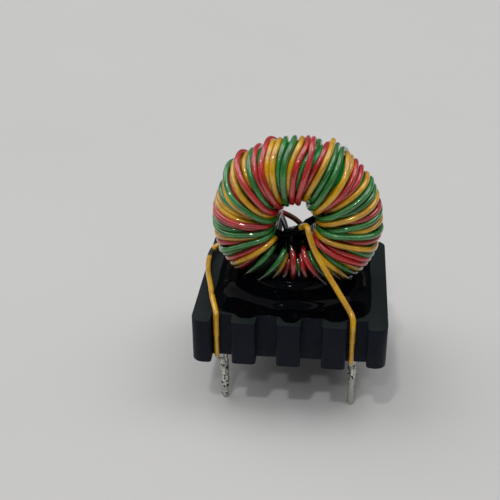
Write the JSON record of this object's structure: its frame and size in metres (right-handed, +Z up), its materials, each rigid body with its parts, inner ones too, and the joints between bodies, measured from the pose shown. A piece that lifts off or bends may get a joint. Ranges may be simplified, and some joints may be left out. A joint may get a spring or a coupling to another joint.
{
  "type": "pulse transformer",
  "caption": "Toroidal pulse transformer: a ring wound with yellow, green and red insulated wire, set upright in black epoxy on a slotted header with solder pins.",
  "frame": {"origin": "under the middle of the header, on the plane of the pin tips", "axes": "+X right and +Y to the rear, seen with the single pair of yellow leads in front; +Z up, out of the circuit board; the ring's axis lies along Y"},
  "size_m": [0.022, 0.021, 0.0304],
  "materials": {
    "header_plastic": "moulded blue-black thermoset, matt on top",
    "core_coating": "bright green powder coating over ferrite",
    "yellow_insulation": "glossy extruded insulation",
    "green_insulation": "glossy extruded insulation",
    "red_insulation": "glossy extruded insulation",
    "black_epoxy": "glossy cast epoxy",
    "tinned_pin": "dull tin plate",
    "tinned_copper": "tinned bare copper",
    "solder": "rough dull solder"
  },
  "bodies": {
    "root": {"header": "header_plastic", "toroid_core": "core_coating", "yellow_wire": "yellow_insulation", "green_wire": "green_insulation", "red_wire": "red_insulation", "potting": "black_epoxy", "pin_front_left": "tinned_pin", "copper_tail_front_left": "tinned_copper", "solder_front_left": "solder", "pin_front_right": "tinned_pin", "copper_tail_front_right": "tinned_copper", "solder_front_right": "solder", "pin_rear_1": "tinned_pin", "copper_tail_rear_1": "tinned_copper", "solder_rear_1": "solder", "pin_rear_2": "tinned_pin", "copper_tail_rear_2": "tinned_copper", "solder_rear_2": "solder", "pin_rear_3": "tinned_pin", "copper_tail_rear_3": "tinned_copper", "solder_rear_3": "solder", "pin_rear_4": "tinned_pin", "copper_tail_rear_4": "tinned_copper", "solder_rear_4": "solder"}
  },
  "joints": []
}
